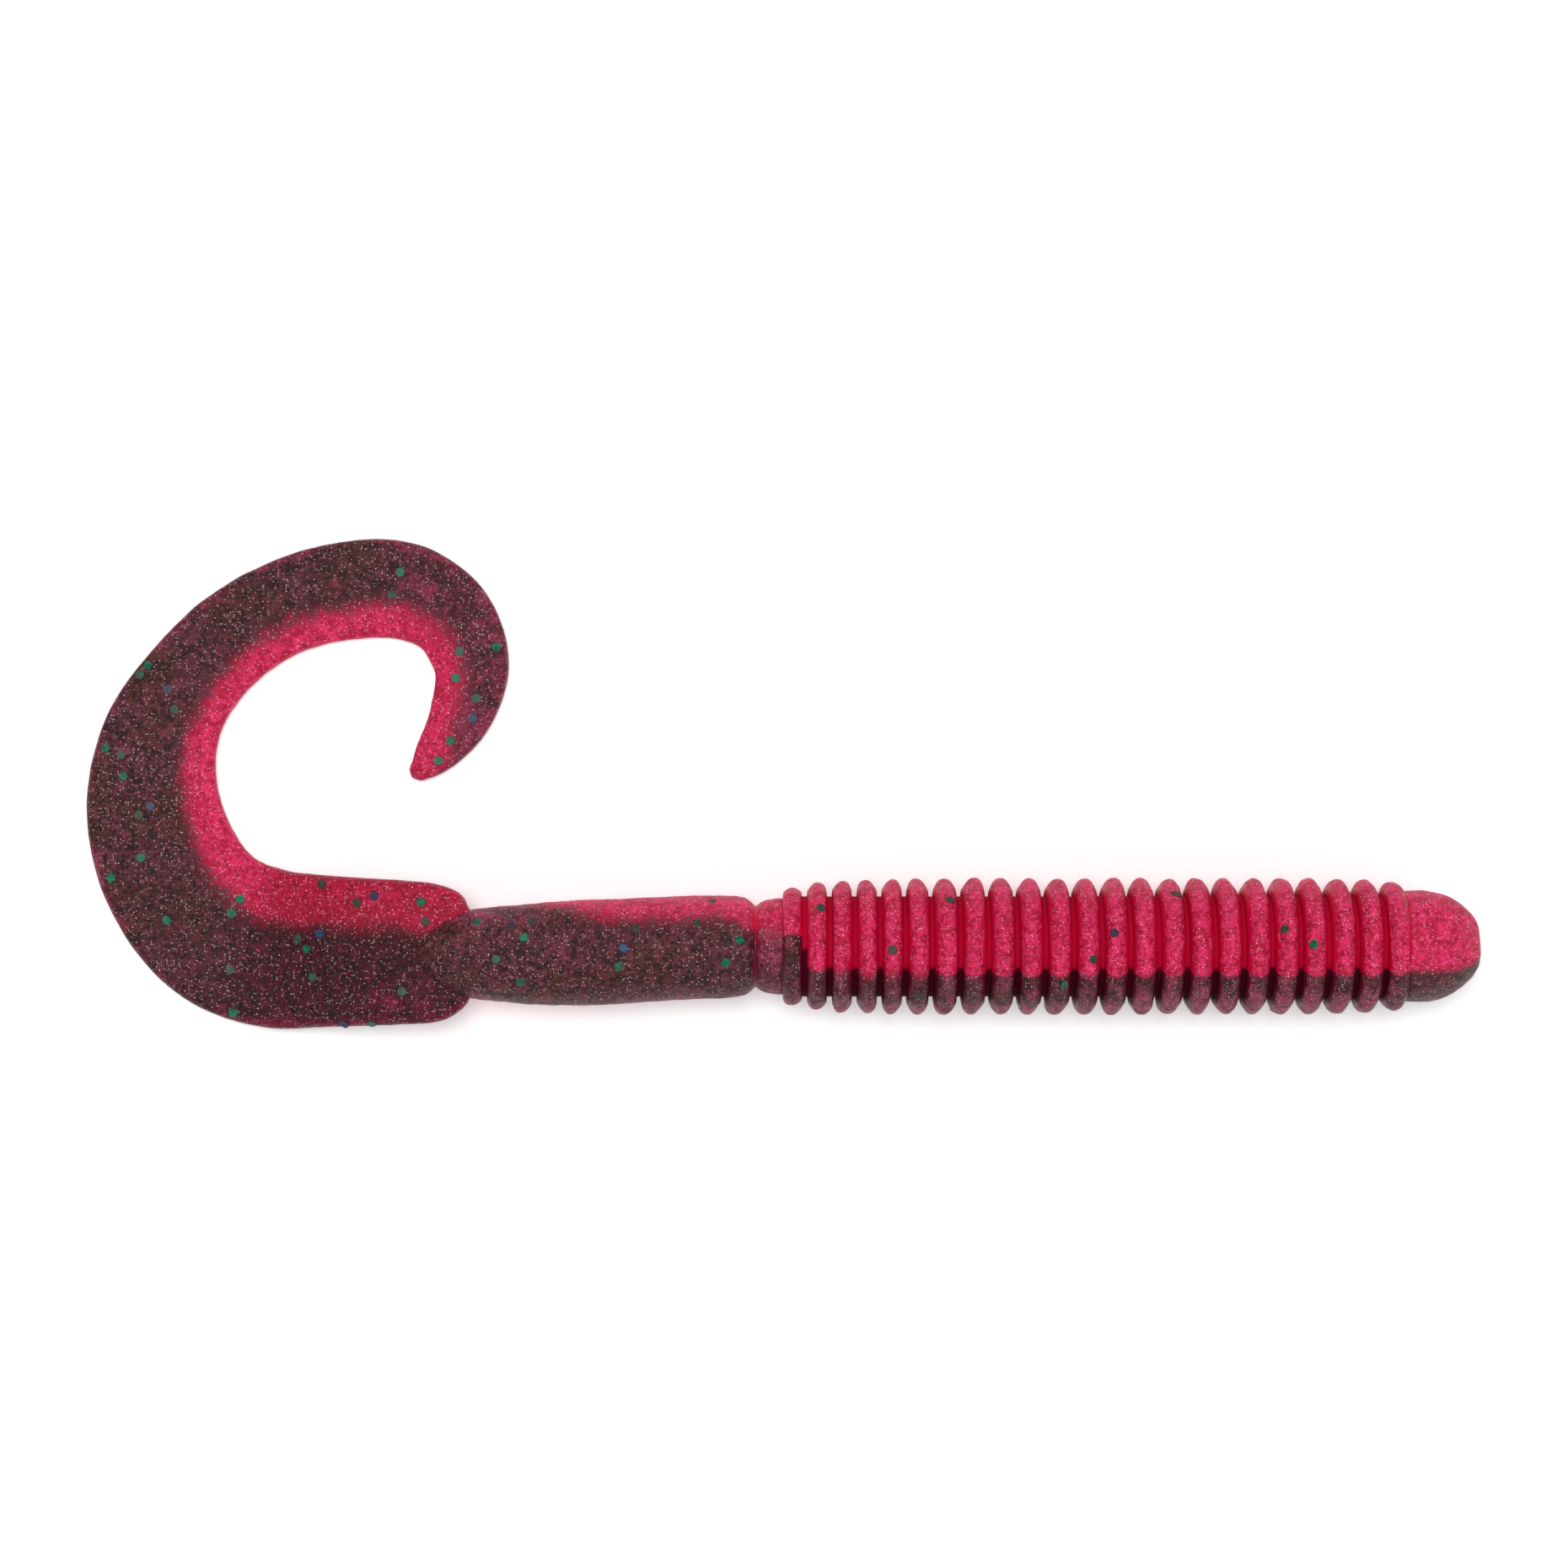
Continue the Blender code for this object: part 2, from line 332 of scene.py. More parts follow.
class Shader:
    """A Principled material whose nodes are added one call at a time."""

    def __init__(self, name, **constants):
        self.material = bpy.data.materials.new(name)
        self.material.use_nodes = True
        self.tree = self.material.node_tree
        self.surface = self.tree.nodes["Principled BSDF"]
        for socket, value in constants.items():
            self.surface.inputs[socket.replace("_", " ")].default_value = value

    def put(self, socket, value):
        """Links a value to a socket, or sets it."""
        if isinstance(value, bpy.types.NodeSocket):
            self.tree.links.new(value, socket)
        elif hasattr(socket.default_value, "__len__") and len(value) == 3:
            socket.default_value = (*value, 1.0) if len(socket.default_value) == 4 else value
        else:
            socket.default_value = value

    def attribute(self, name, kind="Fac"):
        node = self.tree.nodes.new("ShaderNodeAttribute")
        node.attribute_name = name
        return node.outputs[kind]

    def noise(self, place, scale, detail=2.0, roughness=0.5):
        node = self.tree.nodes.new("ShaderNodeTexNoise")
        self.put(node.inputs["Vector"], place)
        node.inputs["Scale"].default_value = scale
        node.inputs["Detail"].default_value = detail
        node.inputs["Roughness"].default_value = roughness
        return node.outputs["Fac"]

    def cells(self, place, scale):
        """(distance to the cell's centre, the cell's random colour)."""
        node = self.tree.nodes.new("ShaderNodeTexVoronoi")
        self.put(node.inputs["Vector"], place)
        node.inputs["Scale"].default_value = scale
        return node.outputs["Distance"], node.outputs["Color"]

    def math(self, operation, a, b=0.0, clamp=False):
        node = self.tree.nodes.new("ShaderNodeMath")
        node.operation = operation
        node.use_clamp = clamp
        self.put(node.inputs[0], a)
        self.put(node.inputs[1], b)
        return node.outputs[0]

    def ramp(self, value, low, high, to_low=0.0, to_high=1.0):
        """A smooth step from to_low at low to to_high at high."""
        node = self.tree.nodes.new("ShaderNodeMapRange")
        node.interpolation_type = "SMOOTHSTEP"
        for socket, number in zip(node.inputs, (value, low, high, to_low, to_high)):
            self.put(socket, number)
        return node.outputs[0]

    def mix(self, share, a, b):
        node = self.tree.nodes.new("ShaderNodeMix")
        node.data_type = "RGBA"
        self.put(node.inputs["Factor"], share)
        self.put(node.inputs[6], a)
        self.put(node.inputs[7], b)
        return node.outputs[2]

    def stretch(self, place, scale):
        node = self.tree.nodes.new("ShaderNodeVectorMath")
        node.operation = "MULTIPLY"
        self.put(node.inputs[0], place)
        node.inputs[1].default_value = scale
        return node.outputs[0]

    def channel(self, colour, index):
        node = self.tree.nodes.new("ShaderNodeSeparateColor")
        self.put(node.inputs[0], colour)
        return node.outputs[index]

    def bump(self, height, distance, strength):
        node = self.tree.nodes.new("ShaderNodeBump")
        node.inputs["Distance"].default_value = distance
        self.put(node.inputs["Strength"], strength)
        self.put(node.inputs["Height"], height)
        return node.outputs["Normal"]


# Base colours as (in the pits of the grain, on the grains).
PINK = ((0.39, 0.0015, 0.031), (0.76, 0.022, 0.122))
MAROON = ((0.018, 0.003, 0.006), (0.120, 0.022, 0.033))
BROWN = ((0.016, 0.003, 0.003), (0.095, 0.020, 0.017))
DULL_PINK = ((0.11, 0.008, 0.022), (0.33, 0.040, 0.090))
# Deeper red on the ribs' sides and darker still down in the grooves: painted shade and light
# bounced between the ribs.
PINK_WALL_SHADE = (0.57, 0.0018, 0.038)
PINK_GROOVE_SHADE = (0.47, 0.0015, 0.028)
MAROON_WALL_SHADE = (0.105, 0.0025, 0.016)
MAROON_GROOVE_SHADE = (0.050, 0.001, 0.007)
# Pale specks: the fine flake in the plastic, with its sparkle painted in as painted glints.
FLAKE_GLINT_ON_PINK = (0.95, 0.36, 0.48)
FLAKE_GLINT_ON_DARK = (0.62, 0.40, 0.44)


def plastisol_material(name):
    """Two-colour plastisol. Marks: "dark" is how far a point is into the dark side, in widths of
    the blend between the colours, "dull" how much dull pink shows through the dark side (low on the
    sides partly painted light coming through the thin plastic), "deep" how much darker the colour
    is painted, as painted shade where the blade reflects less light, and "crest" is 1 on a frosted
    outer surface, 0 on a rib's glossy side and -1 down in a groove. Below 1 the crest paints the
    deeper red of painted shade and bounced light on the ribs' sides and in the grooves."""
    shader = Shader(name, Metallic=0.0, IOR=1.31)
    place = shader.attribute("rest", "Vector")
    drift = shader.noise(place, 0.22, 3.0)
    patches = shader.noise(place, 0.45, 3.0)
    clumps = shader.noise(place, 1.2, 3.0)
    grain = shader.noise(place, 3.0, 3.0, 0.62)
    fine = shader.noise(place, 7.5, 2.0, 0.6)

    height = shader.attribute("crest")
    crest = shader.math("ADD", height, shader.math("MULTIPLY", grain, 0.5))
    crest = shader.ramp(crest, 0.55, 0.95)

    wobble = shader.math("MULTIPLY", shader.math("SUBTRACT", clumps, 0.5), 2.2)
    for spread, weight in ((patches, 1.6), (grain, 2.2)):
        part = shader.math("MULTIPLY", shader.math("SUBTRACT", spread, 0.5), weight)
        wobble = shader.math("ADD", wobble, part)
    dark = shader.ramp(shader.math("ADD", shader.attribute("dark"), wobble), -0.85, 0.75)

    clod = shader.math("MULTIPLY", shader.math("SUBTRACT", clumps, 0.5), 0.7)
    lit = shader.ramp(shader.math("ADD", grain, clod), 0.34, 0.66)
    pink = shader.mix(lit, *PINK)
    maroon = shader.mix(lit, *MAROON)
    maroon = shader.mix(shader.ramp(drift, 0.42, 0.62), maroon, shader.mix(lit, *BROWN))
    dull = shader.math("MULTIPLY", shader.math("SUBTRACT", patches, 0.5), 2.2)
    dull = shader.ramp(shader.math("ADD", shader.attribute("dull"), dull), 0.05, 1.0)
    maroon = shader.mix(dull, maroon, shader.mix(lit, *DULL_PINK))
    frosted = shader.mix(dark, pink, maroon)
    # Painted shade: where "deep" is high the colour is darkened, near the blade's root and a little
    # near its tip, where the blade reflects less light. The clumps add darker patches at random.
    deep = shader.math("ADD", shader.attribute("deep"), shader.math("MULTIPLY", clod, 1.5))
    darkened = shader.stretch(frosted, (0.66, 0.18, 0.42))
    frosted = shader.mix(shader.ramp(deep, 0.05, 0.95), frosted, darkened)
    # The ribs' sides and the grooves get a deeper red: painted shade and light bounced between the
    # ribs, strongest at the bottom of a groove.
    shaded_wall = shader.mix(dark, PINK_WALL_SHADE, MAROON_WALL_SHADE)
    groove = shader.mix(dark, PINK_GROOVE_SHADE, MAROON_GROOVE_SHADE)
    shaded_wall = shader.mix(shader.ramp(height, -1.0, 0.1), groove, shaded_wall)
    colour = shader.mix(crest, shaded_wall, frosted)

    # Pale specks of the fine flake with their sparkle painted in as painted glints; the second set
    # of cells adds larger, sparse painted glints.
    streaks = shader.stretch(place, (1.0, 1.25, 1.1))
    distance, random_colour = shader.cells(streaks, 4.4)
    chosen = shader.ramp(shader.channel(random_colour, 0), 0.40, 0.75)
    near = shader.ramp(distance, 0.16, 0.44, 1.0, 0.0)
    flake_glint = shader.math("MULTIPLY", shader.math("MULTIPLY", chosen, near), crest)
    flake_glint = shader.math("MULTIPLY", flake_glint, shader.channel(random_colour, 1))
    distance, random_colour = shader.cells(streaks, 2.3)
    glint = shader.math("MULTIPLY", shader.ramp(distance, 0.08, 0.20, 1.0, 0.0), crest)
    glint = shader.math("MULTIPLY", glint, shader.ramp(shader.channel(random_colour, 0), 0.6, 0.8))
    flake_glint = shader.math("MAXIMUM", flake_glint, glint)
    flake_glint_colour = shader.mix(dark, FLAKE_GLINT_ON_PINK, FLAKE_GLINT_ON_DARK)
    colour = shader.mix(flake_glint, colour, flake_glint_colour)
    shader.put(shader.surface.inputs["Base Color"], colour)

    rough = shader.ramp(grain, 0.3, 0.7, 0.42, 0.6)
    rough = shader.math("SUBTRACT", rough, shader.math("MULTIPLY", flake_glint, 0.25))
    rough = shader.math("MULTIPLY", rough, shader.ramp(crest, 0.0, 1.0, 0.8, 1.0))
    rough = shader.math("ADD", rough, shader.ramp(height, -1.0, -0.2, 0.4, 0.0))
    shader.put(shader.surface.inputs["Roughness"], rough)
    shine = shader.ramp(height, -1.0, 0.0, 0.12, 0.5)  # the bottom of a groove hardly shines
    shader.put(shader.surface.inputs["Specular IOR Level"], shine)

    relief = shader.math("ADD", grain, shader.math("MULTIPLY", fine, 0.4))
    relief = shader.math("ADD", relief, shader.math("MULTIPLY", clumps, 1.2))
    strength = shader.ramp(crest, 0.0, 1.0, 0.2, 1.0)
    shader.put(shader.surface.inputs["Normal"], shader.bump(relief, 0.16 * MM, strength))
    return shader.material


FLAKE_COLOURS = {
    "green": ((0.001, 0.075, 0.042), (0.002, 0.19, 0.095)),
    "blue": ((0.010, 0.030, 0.085), (0.02, 0.08, 0.21)),
}


def flake_material(name, dim, bright):
    """Glossy polyester film. The mark "depth" is how deep a flake is sunk in the plastic."""
    shader = Shader(name, Metallic=0.0, IOR=1.3)
    place = shader.attribute("rest", "Vector")
    shimmer = shader.noise(place, 3.0, 2.0)
    film = shader.mix(shader.ramp(shimmer, 0.35, 0.65), dim, bright)
    veil = shader.mix(shader.noise(place, 5.0, 2.0), MAROON[0], (0.085, 0.040, 0.042))
    colour = shader.mix(shader.attribute("depth"), film, veil)
    shader.put(shader.surface.inputs["Base Color"], colour)
    shader.put(shader.surface.inputs["Roughness"], shader.ramp(shimmer, 0.3, 0.7, 0.38, 0.52))
    scratch = shader.noise(place, 9.0, 2.0)
    shader.put(shader.surface.inputs["Normal"], shader.bump(scratch, 0.02 * MM, 0.4))
    return shader.material


def floor_material(name):
    shader = Shader(name, Metallic=0.0)
    place = shader.tree.nodes.new("ShaderNodeNewGeometry").outputs["Position"]
    cloud = shader.noise(place, 6.0, 3.0)
    shader.put(
        shader.surface.inputs["Base Color"],
        shader.mix(cloud, (0.94, 0.94, 0.94), (0.96, 0.96, 0.96)),
    )
    shader.put(shader.surface.inputs["Roughness"], shader.ramp(cloud, 0.3, 0.7, 0.75, 0.85))
    shader.surface.inputs["Emission Color"].default_value = (1, 1, 1, 1)
    shader.surface.inputs["Emission Strength"].default_value = 0.2
    return shader.material


plastisol = plastisol_material("laminated_plastisol")

skins = []  # (piece, how it follows its bodies) for every piece that can carry flakes


def follow_body(piece, body, nodes=()):
    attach(piece, body)
    if nodes:
        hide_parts(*nodes)
    skins.append((piece, ("ride", body)))


def follow_joint(piece, a, b, start, end, nodes=()):
    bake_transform(piece)
    if nodes:
        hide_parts(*nodes)
    skins.append((piece, ("blend", a, b, start, end)))


# --- The ribbed front -----------------------------------------------------------------------------


def rib_body(rib):
    if rib == 1:
        return "collar"
    return "nose" if rib == RIBS else f"rib_{rib:02d}"


def rib_dull(rib, angle, x):
    """Dull pink shows through the dark side of a rib towards its side, more on the front ribs.
    Low on the side it is partly the plastic's tone and partly painted light coming through the thin
    plastic.
    """
    low = -math.radians(44 if rib < 14 else 36)
    reach = math.radians(34 if rib < 14 else 24)
    share = ease((low - angle) / reach) if angle < 0 else 0.0
    amount = 0.8 if rib < 14 else 1.05
    if rib == RIBS:
        amount = 0.2
    base = 0.4 if 12 <= rib < 20 else 0.28
    return base + share * amount + 0.15 * wander((x, 3 * angle, rib), 1.5)


def rib_rooms(rib):
    """The way from a rib's middle to the middles of the grooves behind and in front of it. The
    collar stands close behind the first rib."""
    front = GROOVES[rib].x - RIB_X[rib] if rib < RIBS else RIB_X[rib] - GROOVES[rib - 1].x
    rear = RIB_X[rib] - GROOVES[rib - 1].x if rib > 1 else FIRST_REAR_ROOM * front
    return rear, front


def rib_ring(rib):
    """One rib: a ring with a rounded crest, wavy edges and small lumps, over the cores."""
    x0, crest = RIB_X[rib], CREST[rib]
    draw = random.Random(100 + rib)
    tilt, tilt_way = draw.uniform(-0.03, 0.03), draw.uniform(0, 2 * math.pi)
    bulges = [
        (draw.uniform(-math.pi, math.pi), draw.uniform(0.05, 0.15), draw.uniform(-0.08, 0.11))
        for _ in range(12)
    ]
    rear, front = rib_rooms(rib)
    hidden = (
        (front - FOOT_CLEAR, GROOVE_RADIUS),
        (front - FOOT_CLEAR, RING_ROOT),
        (FOOT_CLEAR - rear, RING_ROOT),
        (FOOT_CLEAR - rear, GROOVE_RADIUS),
    )
    points, faces, marks = [], [], {"dark": [], "dull": [], "crest": []}
    for k in range(AROUND):
        angle = 2 * math.pi * k / AROUND - math.pi
        swell = sum(
            size * math.exp(-((math.remainder(angle - at, 2 * math.pi) / wide) ** 2))
            for at, wide, size in bulges
        )
        sway = tilt * crest * math.cos(angle - tilt_way)
        sway += 0.13 * wander((x0, 2.4 * math.cos(angle), 2.4 * math.sin(angle)), 0.7, rib)
        for step in range(RING_STEPS + 1):
            share = 2 * step / RING_STEPS - 1  # -1 at the rear foot, 1 at the front foot
            room = front if share > 0 else rear
            away = share * (room - SIDE_CLEAR)
            rise = 1 - (abs(away) / (room - LOBE_CLEAR)) ** LOBE_POWER
            radius = GROOVE_RADIUS + (crest - GROOVE_RADIUS + swell) * rise
            calm = 1 - abs(share) ** 4
            x = x0 + away * (1 + 0.6 * swell * calm) + sway * calm
            spot = (x, radius * math.sin(angle), radius * math.cos(angle))
            radius += lumps(spot, rib) * (0.2 + 1.3 * calm)
            edge = abs(share) + 0.2 * wander(spot, 0.7, rib + 40)
            points.append(
                (x, AXIS_Y + radius * math.sin(angle), AXIS_Z + radius * math.cos(angle))
            )
            # Away from the middle of the rib the crest mark falls, painting the side and the groove
            # in the deeper red of painted shade.
            marks["crest"].append(1 - ease((edge - 0.68) / 0.24) * 1.1)
            blur = 0.9 if 2 < rib < 7 else 0.3
            marks["dark"].append(seam_distance(x0, radius, angle) / blur)
            marks["dull"].append(rib_dull(rib, angle, x))
        for away, radius in hidden:
            x = x0 + away
            points.append(
                (x, AXIS_Y + radius * math.sin(angle), AXIS_Z + radius * math.cos(angle))
            )
            marks["crest"].append(-1.0)
            marks["dark"].append(seam_distance(x0, radius, angle) / 0.3)
            marks["dull"].append(0.0)
    across = RING_STEPS + 5
    for k in range(AROUND):
        a, b = k * across, (k + 1) % AROUND * across
        for i in range(across):
            j = (i + 1) % across
            faces.append((a + i, a + j, b + j, b + i))
    name = f"rib_ring_{rib:02d}"
    piece = make_piece(name, points, faces, marks, plastisol)
    follow_body(piece, rib_body(rib), (f"rib_{rib:02d}",))


def groove_core(groove):
    """The bottom of one groove. It is part of a ball about the groove's joint, so that the bottom
    stays closed as the ribs turn about it. Its ends are hidden inside the ribs."""
    x0 = GROOVES[groove].x
    profile = [(x0 - CORE_HALF, 0.0)]
    for share in CORE_SHARES:
        away = CORE_HALF * share
        profile.append((x0 + away, math.sqrt(GROOVE_RADIUS**2 - away**2)))
    profile.append((x0 + CORE_HALF, 0.0))

    def shape(x, radius, angle):
        if radius == 0:
            return x, 0.0
        spot = (x, radius * math.sin(angle), radius * math.cos(angle))
        return x, radius + 0.03 * wander(spot, 1.1)

    def marks_at(x, radius, angle):
        return {
            "dark": seam_distance(x0, radius, angle) / 0.3,
            "dull": 0.0,
            # A crest of -1 paints the groove bottom in its darkest red: painted shade.
            "crest": -1.0,
        }

    points, faces, marks = turned(profile, lambda x: AXIS_Y, shape, marks_at, CORE_AROUND)
    piece = make_piece(f"groove_core_{groove:02d}", points, faces, marks, plastisol)
    follow_body(piece, rib_body(groove))


def build_nose():
    """The blunt nose. Its section is a rounded square with a ridge where the colours meet."""
    ridge = math.radians(table(SEAM_ROLL, NOSE_TIP_X))
    base, tip = 55.4, NOSE_TIP_X

    def shape(x, radius, angle):
        if radius == 0:
            return x, 0.0
        share = ease((x - base) / (tip - base))
        square = 0.012 + 0.035 * share
        near = math.remainder(angle - ridge, 2 * math.pi)
        real = radius * (1 + square * math.cos(4 * near))
        step = ease((near + 0.05) / 0.1) * ease((1.4 - near) / 1.2)
        real += (0.14 * step + 0.10 * math.exp(-((near / 0.12) ** 2))) * min(1, radius / 3)
        spot = (x, radius * math.sin(angle), radius * math.cos(angle))
        real += 1.5 * lumps(spot, 61) * min(1, radius / 1.5)
        lean = 0.06 * wander(spot, 1.6, 62)
        return x + (lean if x > 60 else 0), real

    def marks_at(x, radius, angle):
        # Dull pink low on the side: partly painted light coming through the thin plastic.
        low = ease((-math.radians(62) - angle) / 0.7) if angle < 0 else 0.0
        return {
            "dark": seam_distance(x, radius, angle) / 0.7,
            "dull": 0.12 * low,
            "crest": 1.0,
        }

    start = NOSE_PROFILE[0][0]
    outer = [(max(x, start), radius) for x, radius in spline(NOSE_PROFILE[1:-1], 4)]
    profile = [NOSE_PROFILE[0], *outer, NOSE_PROFILE[-1]]
    points, faces, marks = turned(profile, lambda x: AXIS_Y, shape, marks_at)
    piece = make_piece("nose_skin", points, faces, marks, plastisol)
    follow_body(piece, "nose", ("nose",))


def collar_marks(x, radius, angle):
    return {
        "dark": seam_distance(x, radius, angle) / 1.9,
        "dull": 0.42 + 0.15 * math.cos(angle),
        # The crest falls where the collar narrows, painting it in the deeper red of painted shade.
        "crest": ease((radius - 3.5) / 0.4),
    }


def body_marks(x, radius, angle):
    # Dull pink low on both sides: partly the plastic's tone, partly painted light coming through
    # the thin plastic at the sides.
    lower = ease((-math.radians(48) - angle) / 0.8) if angle < 0 else 0.0
    upper = ease((angle - math.radians(25)) / 0.8) if angle > 0 else 0.0
    share = ease((x + 24) / 8)
    dull = lower * (0.2 + 0.3 * share) + upper * 0.6 * (1 - share) + 0.2 * share * upper
    return {
        "dark": seam_distance(x, radius, angle) / 1.5,
        "dull": dull,
        # Near the waist the crest falls where the body narrows, painting the crease in the deeper
        # red of painted shade.
        "crest": 1.0 if x < -10 else ease((radius - 3.5) / 0.5),
    }


def build_collar():
    def shape(x, radius, angle):
        if radius == 0:
            return x, 0.0
        spot = (x, radius * math.sin(angle), radius * math.cos(angle))
        return x, radius + 1.2 * lumps(spot, 71) * (1 if radius > 3.5 else 0)

    profile = [COLLAR_PROFILE[0], *spline(COLLAR_PROFILE[1:-1], 3), COLLAR_PROFILE[-1]]
    points, faces, marks = turned(profile, lambda x: AXIS_Y, shape, collar_marks)
    piece = make_piece("collar_skin", points, faces, marks, plastisol)
    follow_body(piece, "collar", ("collar",))


def build_waist():
    def marks_at(x, radius, angle):
        return (body_marks if x < WAIST.x else collar_marks)(x, radius, angle)

    def shape(x, radius, angle):
        return x, radius + 0.04 * wander((x, 4 * math.sin(angle), 4 * math.cos(angle)), 1.0)

    profile = [WAIST_PROFILE[0], *spline(WAIST_PROFILE[1:-1], 3), WAIST_PROFILE[-1]]
    points, faces, marks = turned(profile, body_side, shape, marks_at)
    piece = make_piece("waist_skin", points, faces, marks, plastisol)
    reach = Vector((0.9, 0, 0))
    follow_joint(piece, "smooth_body", "collar", WAIST - reach, WAIST + reach)


def build_body():
    """The smooth round body from the waist to the tip of its bullet end."""

    def shape(x, radius, angle):
        if radius == 0:
            return x, 0.0
        spot = (x, radius * math.sin(angle), radius * math.cos(angle))
        calm = ease((radius - 0.4) / 1.5) if x < -20 else ease((radius - 3.0) / 0.8)
        swell = 0.09 * wander(spot, 6.0, 81) + 1.2 * lumps(spot, 82)
        return x, radius + swell * calm

    outer = spline(BODY_PROFILE[1:-2], 9)
    profile = [BODY_PROFILE[0], *outer, BODY_PROFILE[-2], BODY_PROFILE[-1]]
    points, faces, marks = turned(profile, body_side, shape, body_marks, BODY_AROUND)
    piece = make_piece("body_skin", points, faces, marks, plastisol)
    start = REAR_JOINT + Vector((3.0, 0, 0))
    end = REAR_JOINT - Vector((3.0, 0, 0))
    follow_joint(
        piece, "smooth_body", "tail_shank", start, end, ("smooth_body",)
    )


# --- The tail blade -------------------------------------------------------------------------------

ROOT_THICKNESS = 1.9
TIP_THICKNESS = 1.2
DROOP_START_X = -30.5
DROOP_END_X = -49.0
SEGMENTS = 12
TIP_RADIUS = 0.95
STEP_ALONG = 0.3  # mm between sections of the blade's skin
TOP_COLUMNS = 34
EDGE_COLUMNS = 7
UNDER_COLUMNS = 22

# The blade's centre line and half width, from root to tip, in mm.
BLADE_LINE = (
    (-27.2, -15.0, 3.7),
    (-27.8, -15.0, 4.8),
    (-28.9, -14.97, 5.65),
    (-30.6, -14.95, 6.15),
    (-34.0, -14.9, 6.42),
    (-40.0, -14.9, 6.75),
    (-45.2, -14.75, 7.1),
    (-49.4, -13.4, 7.05),
    (-52.8, -10.4, 6.7),
    (-55.2, -6.0, 6.4),
    (-56.2, -1.0, 5.9),
    (-55.5, 4.2, 5.2),
    (-53.0, 8.9, 4.5),
    (-49.0, 13.1, 4.3),
    (-44.0, 16.0, 4.25),
    (-38.5, 17.4, 4.4),
    (-33.5, 17.3, 4.35),
    (-29.4, 14.9, 3.85),
    (-27.6, 10.5, 3.35),
    (-28.7, 5.9, 2.75),
    (-31.1, 2.4, 1.75),
    (-32.9, 0.6, 0.5),
)

# Where pink gives way to dark across the blade, by share of its length: -1 is the outer edge, 1
# the inner. Past -1 the whole width is pink.
BLADE_SEAM = (
    (0.0, 0.28),
    (0.10, 0.36),
    (0.20, 0.34),
    (0.30, 0.44),
    (0.42, 0.52),
    (0.55, 0.45),
    (0.68, 0.38),
    (0.80, 0.34),
    (0.88, 0.22),
    (0.94, 0.0),
    (1.0, -1.6),
)


class Blade:
    """The tail's shape, by distance along its centre line from the root end."""

    def __init__(self):
        self.dense = np.array(spline(BLADE_LINE, 24))
        steps = np.linalg.norm(np.diff(self.dense[:, :2], axis=0), axis=1)
        self.far = np.concatenate([[0.0], np.cumsum(steps)])
        self.length = float(self.far[-1])

    def at(self, s):
        return np.array([np.interp(s, self.far, self.dense[:, i]) for i in range(3)])

    def thickness(self, s):
        return ROOT_THICKNESS + (TIP_THICKNESS - ROOT_THICKNESS) * s / self.length

    def under(self, s):
        if s > self.length / 2:
            return 0.0
        drop = ease((DROOP_START_X - self.at(s)[0]) / (DROOP_START_X - DROOP_END_X))
        return (AXIS_Z - ROOT_THICKNESS / 2) * (1 - drop)

    def point(self, s):
        x, y, _ = self.at(s)
        return Vector((x, y, self.under(s)))

    def frame(self, s):
        """(underside point, along, towards the inner edge, up) at distance s."""
        step = 0.05
        along = (self.point(s + step) - self.point(s - step)).normalized()
        inner = along.cross(Vector((0, 0, 1))).normalized()
        return self.point(s), along, inner, inner.cross(along)

    def place_of(self, point):
        """The distance along the centre line nearest to a point."""
        away = np.linalg.norm(self.dense[:, :2] - np.array(point[:2]), axis=1)
        return float(self.far[int(away.argmin())])


blade = Blade()


def blade_columns():
    """Places round the blade's section: (across, height), both as shares, from the outer edge
    over the top to the inner edge and back underneath."""
    rim = 0.94
    places = []
    for k in range(TOP_COLUMNS):
        u = -rim + 2 * rim * k / (TOP_COLUMNS - 1)
        places.append((u, 1.0 - 0.10 * abs(u) ** 6))
    for k in range(1, EDGE_COLUMNS):
        turn = math.pi * k / EDGE_COLUMNS
        places.append((rim + (1 - rim) * math.sin(turn), 0.45 + 0.45 * math.cos(turn)))
    for k in range(UNDER_COLUMNS):
        places.append((rim - 2 * rim * k / (UNDER_COLUMNS - 1), 0.0))
    for k in range(1, EDGE_COLUMNS):
        turn = math.pi * k / EDGE_COLUMNS
        places.append((-rim - (1 - rim) * math.sin(turn), 0.45 - 0.45 * math.cos(turn)))
    return places


COLUMNS = blade_columns()


